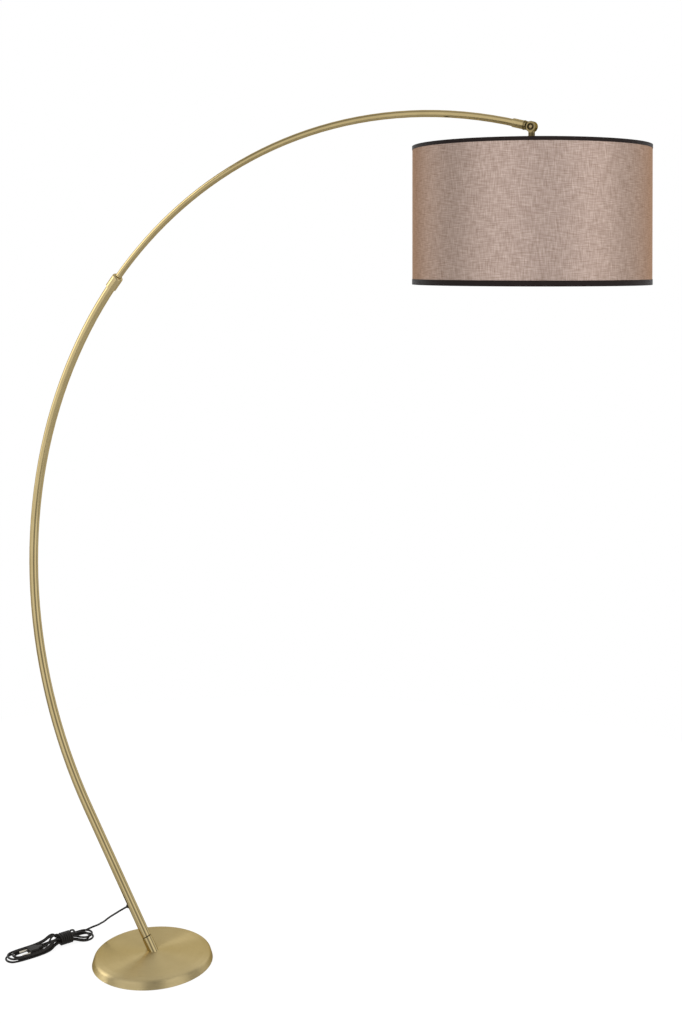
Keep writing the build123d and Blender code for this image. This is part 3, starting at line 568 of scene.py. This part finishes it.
class LAMP_OT_metalwork(bpy.types.Operator):
    """Brush the base, the pole and the swivel in antique brass"""

    bl_idname = "lamp.metalwork"
    bl_label = "Brass pieces"

    def execute(self, context):
        finishes = finishes_of(context)
        # Painted light: the base's brass is made lighter by its tone shift
        spun = brushed_brass("spun_brass", about_vertical, finishes, gloss=0.36, depth=0.0003, grain=900.0,
                             spin=0.95, painted_light_shift=0.30)
        dress(spun, "base_cover")
        drawn = brushed_brass("drawn_brass", along_bow, finishes, gloss=0.13, depth=0.000008, paint_seam_shade=True)
        dress(drawn, "lower_tube")
        # Painted shade: the arm gets a darker copy of the drawn brass
        thin = brushed_brass("arm_brass_painted_shade", along_bow, finishes, gloss=0.13, depth=0.000008, painted_light_shift=-0.20)
        dress(thin, "upper_tube")
        for name, gloss, painted_light_shift in TURNED_PIECES:
            low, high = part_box(name)
            middle = (low + high) / 2
            if name == "base_socket":
                axis = FOOT_AXIS
            else:
                out = middle - ARC_CENTRE
                axis = Vector((out.z, 0, -out.x)).normalized()
            turned = brushed_brass(f"turned_brass_{name}", turned_way(middle, axis), finishes, gloss=gloss,
                                   painted_light_shift=painted_light_shift, paint_seam_shade=name == "base_socket")
            dress(turned, name)
        dress(swivel_brass("cast_brass", finishes), "knuckle_arm", "knuckle_head")
        plate = metal("screw_plate", low=(0.24, 0.17, 0.08), high=(0.52, 0.40, 0.21), gloss=0.3)
        dress(plate, "knuckle_screw")
        return {"FINISHED"}


class LAMP_OT_hardware(bpy.types.Operator):
    """Finish the fasteners, the weight and the floor pad"""

    bl_idname = "lamp.hardware"
    bl_label = "Fasteners, weight and pad"

    def execute(self, context):
        zinc = metal("zinc_plate", low=(0.42, 0.42, 0.41), high=(0.66, 0.66, 0.64), gloss=0.36)
        dress(zinc, "base_bolt", "base_washer", "pole_screw", "collar_screw", "knuckle_washer", "knuckle_nut",
              "stem_nipple", "lock_nut")
        dress(cast("raw_iron"), "base_weight")
        foam = moulded("foam_pad", low=(0.012, 0.012, 0.012), high=(0.035, 0.034, 0.033), gloss=0.85,
                       grain=700.0, depth=0.0003)
        dress(foam, "base_pad")
        bush = moulded("bush_plastic", low=(0.25, 0.25, 0.25), high=(0.38, 0.38, 0.37), gloss=0.5)
        dress(bush, "guide_bush")
        return {"FINISHED"}


class LAMP_OT_lampholder(bpy.types.Operator):
    """Finish the lampholder inside the shade and the leads that bend through the swivel"""

    bl_idname = "lamp.lampholder"
    bl_label = "Lampholder"

    def execute(self, context):
        plastic = moulded("holder_plastic", low=(0.012, 0.012, 0.013), high=(0.03, 0.03, 0.031), gloss=0.42)
        dress(plastic, "holder_cap", "holder_body", "ring_nut")
        glaze = moulded("glazed_insert", low=(0.70, 0.69, 0.64), high=(0.82, 0.81, 0.77), gloss=0.3,
                        grain=300.0)
        dress(glaze, "holder_insert")
        brass = metal("bright_brass", low=(0.50, 0.36, 0.12), high=(0.70, 0.55, 0.26), gloss=0.28)
        dress(brass, "holder_shell", "centre_contact")
        sleeve = moulded("wire_sleeve", low=(0.014, 0.014, 0.015), high=(0.03, 0.03, 0.03), gloss=0.45)
        dress(sleeve, "head_leads")
        bent("swivel_leads", "head_leads")
        return {"FINISHED"}


class LAMP_OT_shade(bpy.types.Operator):
    """Cover the shade with linen and line it"""

    bl_idname = "lamp.shade"
    bl_label = "Shade"

    def execute(self, context):
        finishes = finishes_of(context)
        cloth = linen("taupe_linen", finishes, finishes.linen_dark, finishes.linen_light, depth=0.0002,
                      satin=0.5)
        dress(cloth, "shade_fabric")
        film = linen("liner_film", finishes, (0.62, 0.60, 0.55), (0.82, 0.80, 0.75), depth=0.0001, satin=0.0)
        dress(film, "shade_liner")
        enamel = moulded("wire_enamel", low=(0.66, 0.66, 0.64), high=(0.80, 0.80, 0.78), gloss=0.4)
        dress(enamel, "shade_carrier", "bottom_wire")
        return {"FINISHED"}


class LAMP_OT_tapes(bpy.types.Operator):
    """Bind the shade's edges with rounded bias tape"""

    bl_idname = "lamp.tapes"
    bl_label = "Bias tapes"

    def execute(self, context):
        material = bias_tape("black_tape", finishes_of(context))
        dress(material, "top_trim", "bottom_trim")
        tree = tape_tree()
        for node in ("top_trim", "bottom_trim"):
            low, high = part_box(node)
            radius = (high.x - low.x) / 2
            inward = -1 if node == "top_trim" else 1
            edge = high.z if node == "top_trim" else low.z
            leg = high.z - low.z
            piece = grown(f"{node}_tape", tree, {
                "Leg radius": radius - TAPE_THICKNESS / 2, "Leg thickness": TAPE_THICKNESS,
                "Leg rounding": TAPE_THICKNESS * TAPE_ROUNDING,
                "Leg height": leg, "Leg level": edge + inward * leg / 2,
                "Hem radius": radius - HEM_WIDTH / 2, "Hem thickness": HEM_WIDTH,
                "Hem rounding": HEM_HEIGHT * TAPE_ROUNDING,
                "Hem height": HEM_HEIGHT, "Hem level": edge + inward * HEM_HEIGHT / 2,
                "Centre": (low.x + high.x) / 2, "Segments": TAPE_SEGMENTS, "Material": material})
            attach(piece, "head")
            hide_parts(node)
        return {"FINISHED"}


# Where the hank lies on the floor, in millimetres, and how it is turned
HANK_PLACE = (-231.9, -54.3)
HANK_HEADING = math.radians(66.8)
# Sizes of the lead and its hank, in millimetres, in the hank's own frame: along, across and up
CORD_RADIUS = 2.1
LOW_LEVEL = 2.3
FOLDS = (15.8, 21.2)
WAISTS = (2.7, 8.1)
LIFTS = (0.0, 5.35)
WRAP_SIZE = (14.6, 10.8)
WAIST_LEVEL = LOW_LEVEL + WRAP_SIZE[1]
WAIST_RIGHT, WAIST_LEFT = 34.0, 3.0
SPREAD_RIGHT, SPREAD_LEFT = 59.5, -30.0
SPREAD_LEAD = 2.5
RIGHT_TURNS = (67.0, 61.5, 67.0)
LEFT_TURNS = (-97.0, -83.0, -87.0, -93.0)
CLIMB_SHARES = (0.1, 0.35, 0.65, 0.9)
LEAD_IN_RADIUS = 34.0
LEAD_IN_DROPS = ((-31.2, 38.5), (-16.5, 30.0))
LEAD_IN_LEVELS = (21.5, 12.5, 4.6)
LAST_PASS_END = 30.0
WRAP_ENTRY = (39.0, -9.0, WAIST_LEVEL + 7.0)
WRAP_TURNS = 6
WRAP_POINTS = 12
WRAP_PITCH = 4.9
WRAP_START = 36.0
WRAP_LEAD, WRAP_LEAD_POINTS = 5.7, 3
BULGES = (0.0, 0.0, 0.0, 0.0, 12.0, 6.0, 13.0, 9.0)
BULGE_PLACE = WAIST_LEFT - 11.0
BULGE_SPREAD, BULGE_DIP = 0.25, 1.0
TAIL_POINTS = (
    (2.5, 3.2, 24.8), (-4.5, 3.0, 24.5), (-12.5, 2.0, 23.0),
    (-21.5, 1.0, 8.0), (-31.0, 0.0, 6.7), (-35.2, 0.0, 6.7),
)
# The run from the pole down to the hank, in millimetres, in the lamp's frame
RUN_POINTS = (
    (-72.57, 0.0, 104.29), (-91.75, 0.0, 91.59), (-110.0, 4.5, 78.5),
    (-130.0, 11.5, 64.6), (-147.5, 18.8, 51.5),
)


def hank_to_lamp(place):
    """A point of the hank's frame in the lamp's, both in millimetres."""
    along, across, up = place
    cos, sin = math.cos(HANK_HEADING), math.sin(HANK_HEADING)
    return (HANK_PLACE[0] + along * cos - across * sin, HANK_PLACE[1] + along * sin + across * cos, up)


def fold_points(centre, radius, first, last, levels):
    """Control points round a fold of the lead, one for each level."""
    step = (last - first) / len(levels)
    reach = radius / math.cos(math.radians(step / 2))
    points = []
    for number, level in enumerate(levels):
        turn = math.radians(first + step * (number + 0.5))
        points.append((centre[0] + reach * math.cos(turn), centre[1] + reach * math.sin(turn), level))
    return points


def hank_points():
    """Control points of the tied hank, from where the lead comes down to the plug."""
    passes = [(layer, ring, side) for layer in (0, 1) for ring in ((1, 0), (0, 1))[layer] for side in (1, -1)]
    entry = (RIGHT_TURNS[0], FOLDS[1] - LEAD_IN_RADIUS)
    points = [(entry[0] + LEAD_IN_RADIUS, across, up) for across, up in LEAD_IN_DROPS]
    points += fold_points(entry, LEAD_IN_RADIUS, 0.0, 90.0, LEAD_IN_LEVELS)
    for number, (layer, ring, side) in enumerate(passes):
        fold, waist = side * FOLDS[ring], side * WAISTS[ring]
        level = LOW_LEVEL + LIFTS[layer]
        tied = WAIST_LEVEL - LIFTS[1] / 2 + LIFTS[layer]
        left, lead = LEFT_TURNS[number // 2], ring * SPREAD_LEAD
        right = RIGHT_TURNS[min(max(0, number - 1) // 2, len(RIGHT_TURNS) - 1)]
        bulge_across = waist * (1 - BULGE_SPREAD) + fold * BULGE_SPREAD
        run = [
            (SPREAD_RIGHT - lead, fold, level),
            (WAIST_RIGHT - lead, waist, tied),
            (WAIST_LEFT + lead, waist, tied),
            (BULGE_PLACE, bulge_across, tied - BULGE_DIP + BULGES[number]),
            (SPREAD_LEFT + lead, fold, level),
        ]
        if side > 0:
            points += run + fold_points((left, 0.0), FOLDS[ring], 90.0, 270.0, [level] * 4)
            continue
        if number == len(passes) - 1:
            points += [run[4], run[3], run[2], (LAST_PASS_END, waist, tied)]
            continue
        points += run[::-1]
        next_layer, next_ring, _ = passes[number + 1]
        centre = (right, (FOLDS[next_ring] + fold) / 2)
        climb = LIFTS[next_layer] - LIFTS[layer]
        levels = [level + climb * share for share in CLIMB_SHARES]
        points += fold_points(centre, (FOLDS[next_ring] - fold) / 2, -90.0, 90.0, levels)
    points.append(WRAP_ENTRY)
    reach = 1 / math.cos(math.pi / WRAP_POINTS)
    for number in range(WRAP_TURNS * WRAP_POINTS):
        turn = math.radians(90 - 360 * number / WRAP_POINTS)
        ahead = WRAP_LEAD * max(0.0, 1 - number / WRAP_LEAD_POINTS)
        points.append((
            WRAP_START + ahead - WRAP_PITCH * number / WRAP_POINTS,
            WRAP_SIZE[0] * reach * math.cos(turn), WAIST_LEVEL + WRAP_SIZE[1] * reach * math.sin(turn)))
    points += TAIL_POINTS
    return [hank_to_lamp(point) for point in points]


class LAMP_OT_lead(bpy.types.Operator):
    """Lay the mains lead from the grommet to its tied hank and plug, and finish the flex in the tubes"""

    bl_idname = "lamp.lead"
    bl_label = "Mains lead"

    def execute(self, context):
        lead_colour = finishes_of(context).lead_colour
        worn = [c * 2.5 for c in lead_colour]
        sheath = moulded("lead_sheath", low=lead_colour, high=worn, gloss=0.42, grain=900.0, shine=0.2)
        dress(sheath, "pole_flex", "slack_flex", "arm_flex", "cord_run", "cord_hank", "cord_grommet",
              "plug_body")
        bent("slack_lead", "slack_flex")
        dress(metal("pin_plate", low=(0.50, 0.46, 0.36), high=(0.72, 0.68, 0.58), gloss=0.26), "plug_pins")
        points = [tuple(c * MM for c in point) for point in (*RUN_POINTS, *hank_points())]
        curve = bpy.data.curves.new("mains_lead", "CURVE")
        curve.dimensions = "3D"
        curve.bevel_depth = CORD_RADIUS * MM
        curve.bevel_resolution = 5
        curve.use_fill_caps = True
        curve.resolution_u = 6
        spline = curve.splines.new("NURBS")
        spline.points.add(len(points) - 1)
        for knot, point in zip(spline.points, points):
            knot.co = (*point, 1.0)
        spline.order_u = 3
        spline.use_endpoint_u = True
        curve.materials.append(sheath)
        lead = bpy.data.objects.new("mains_lead", curve)
        context.scene.collection.objects.link(lead)
        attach(lead, "stand")
        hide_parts("cord_run", "cord_hank")
        return {"FINISHED"}


# Floor of the studio, in metres, and the share of its own glow that the camera sees
FLOOR_MIDDLE, FLOOR_RADIUS, FLOOR_CORNERS = 0.2, 2.0, 96
FLOOR_GLOW, GLOW_SHARE = 1.2, 0.72
# Soft edges of the room's lights: turns from the front in radians, then shares of the direction behind and up
LEFT_EDGES = ((-1.40, -1.00), (-0.30, 0.05))
RIGHT_EDGES = ((0.42, 0.70), (1.20, 1.60))
BEHIND_EDGES = (0.05, 0.5)
CEILING_EDGES = (0.72, 0.97)
BEHIND_LIGHT = 0.15
# Soft boxes, in metres
KEY_PLACE = Vector((3.2, -2.2, 2.9))
KEY_TARGET = Vector((0.5, 0.0, 1.2))
KEY_SIZE = 2.4
STRIP_PLACE = Vector((-0.93, -0.22, 1.1))
STRIP_AIM = Vector((0.85, 0.48, -0.32))
STRIP_SIZE = (0.9, 2.2)
STRIP_SPREAD = math.radians(70.0)


def lobe(turn, edges):
    """1 between two soft edges, 0 outside them."""
    return turn.step(*edges[0]) * (1.0 - turn.step(*edges[1]))


class LAMP_OT_studio(bpy.types.Operator):
    """Set the pale floor, the soft light and the camera"""

    bl_idname = "lamp.studio"
    bl_label = "Studio"

    def execute(self, context):
        studio = context.scene.arc_lamp_studio
        scene = context.scene
        scene.view_settings.view_transform = "Standard"
        self.floor(scene)
        self.world(scene, studio)
        self.key(scene, studio)
        self.strip(scene, studio)
        self.camera(scene, studio)
        return {"FINISHED"}

    def floor(self, scene):
        mesh = bpy.data.meshes.new("studio_floor")
        turns = [2 * math.pi * number / FLOOR_CORNERS for number in range(FLOOR_CORNERS)]
        corners = [
            (FLOOR_MIDDLE + FLOOR_RADIUS * math.cos(turn), FLOOR_RADIUS * math.sin(turn), 0.0)
            for turn in turns]
        mesh.from_pydata(corners, [], [tuple(range(FLOOR_CORNERS))])
        finish = Finish("studio_paper")
        x, y, _ = finish.place()
        grain = finish.noise(finish.vector(x, y, 0.0), scale=300.0, detail=2.0)
        paper = finish.mix(grain, (0.88, 0.88, 0.88), (0.92, 0.92, 0.92))
        finish.surface(Base_Color=paper, Roughness=0.9)
        glow = finish.node("ShaderNodeEmission", None, {"Color": (1.0, 1.0, 1.0), "Strength": FLOOR_GLOW})
        camera, _ = finish.ray_kinds()
        inputs = {0: camera * GLOW_SHARE, 1: finish.shader.outputs[0], 2: glow.outputs[0]}
        mixed = finish.node("ShaderNodeMixShader", None, inputs)
        finish.feed(finish.output.inputs["Surface"], mixed.outputs[0])
        mesh.materials.append(finish.material)
        floor = bpy.data.objects.new("studio_floor", mesh)
        scene.collection.objects.link(floor)

    def world(self, scene, studio):
        """A white backdrop, and a dimmer room in front with a soft light on each side and a pale ceiling."""
        world = bpy.data.worlds.new("studio_room")
        world.use_nodes = True
        scene.world = world
        wiring = Wiring(world.node_tree)
        x, y, z = wiring.place("Generated")
        cos, sin = math.cos(studio.front_azimuth), math.sin(studio.front_azimuth)
        front = x * sin - y * cos
        turn = wiring.maths("ARCTAN2", x * cos + y * sin, front)
        left, right = lobe(turn, LEFT_EDGES), lobe(turn, RIGHT_EDGES)
        behind = (front * -1.0).step(*BEHIND_EDGES)
        room = studio.room_dark + left * studio.left_light + right * studio.right_light
        room = room.towards(BEHIND_LIGHT, behind).towards(studio.room_light, z.step(*CEILING_EDGES))
        camera, mirror = wiring.ray_kinds()
        seen = wiring.maths("MAXIMUM", camera, mirror * behind)
        background = world.node_tree.nodes["Background"]
        wiring.feed(background.inputs["Color"], (1.0, 1.0, 1.0))
        wiring.feed(background.inputs["Strength"], room.towards(1.0, seen))

    def soft_box(self, scene, name, power, place, aim):
        """An area light that faces along a direction."""
        light = bpy.data.lights.new(name, "AREA")
        light.energy = power
        lamp = bpy.data.objects.new(name, light)
        lamp.location = place
        lamp.rotation_euler = aim.to_track_quat("-Z", "Y").to_euler()
        scene.collection.objects.link(lamp)
        return lamp

    def key(self, scene, studio):
        """A large soft box high in front, kept out of the mirrors."""
        lamp = self.soft_box(scene, "key", studio.key_power, KEY_PLACE, KEY_TARGET - KEY_PLACE)
        lamp.data.shape = "DISK"
        lamp.data.size = KEY_SIZE
        lamp.visible_glossy = False

    def strip(self, scene, studio):
        """A tall narrow soft box left of the pole, aimed a little down and away from the shade."""
        lamp = self.soft_box(scene, "strip", studio.strip_power, STRIP_PLACE, STRIP_AIM)
        lamp.data.shape = "RECTANGLE"
        lamp.data.size, lamp.data.size_y = STRIP_SIZE
        lamp.data.spread = STRIP_SPREAD
        lamp.visible_camera = False

    def camera(self, scene, studio):
        lens = bpy.data.cameras.new("studio_camera")
        lens.lens = studio.lens
        lens.sensor_width = 36.0
        lens.shift_x = studio.shift_x
        lens.shift_y = studio.shift_y
        lens.clip_end = 100.0
        camera = bpy.data.objects.new("studio_camera", lens)
        camera.location = studio.camera_place
        camera.rotation_euler = (math.pi / 2 - studio.camera_dip, 0.0, studio.camera_azimuth)
        scene.collection.objects.link(camera)
        scene.camera = camera


class LAMP_PT_dress(bpy.types.Panel):
    """The lamp's pieces and its studio"""

    bl_idname = "LAMP_PT_dress"
    bl_label = "Arc Floor Lamp"
    bl_space_type = "VIEW_3D"
    bl_region_type = "UI"
    bl_category = "Lamp"

    def draw(self, context):
        for operator in OPERATORS:
            self.layout.operator(operator.bl_idname)
        for group in (context.scene.arc_lamp_finishes, context.scene.arc_lamp_studio):
            box = self.layout.box()
            for name in type(group).__annotations__:
                box.prop(group, name)


OPERATORS = (LAMP_OT_metalwork, LAMP_OT_hardware, LAMP_OT_lampholder, LAMP_OT_shade, LAMP_OT_tapes,
             LAMP_OT_lead, LAMP_OT_studio)
CLASSES = (LampFinishes, LampStudio, *OPERATORS, LAMP_PT_dress)


def register():
    for cls in CLASSES:
        bpy.utils.register_class(cls)
    bpy.types.Scene.arc_lamp_finishes = bpy.props.PointerProperty(type=LampFinishes)
    bpy.types.Scene.arc_lamp_studio = bpy.props.PointerProperty(type=LampStudio)


def unregister():
    del bpy.types.Scene.arc_lamp_studio
    del bpy.types.Scene.arc_lamp_finishes
    for cls in reversed(CLASSES):
        bpy.utils.unregister_class(cls)


def main():
    register()
    bpy.ops.lamp.metalwork()
    bpy.ops.lamp.hardware()
    bpy.ops.lamp.lampholder()
    bpy.ops.lamp.shade()
    bpy.ops.lamp.tapes()
    bpy.ops.lamp.lead()
    bpy.ops.lamp.studio()
    bpy.context.view_layer.update()


if __name__ == "__main__":
    main()
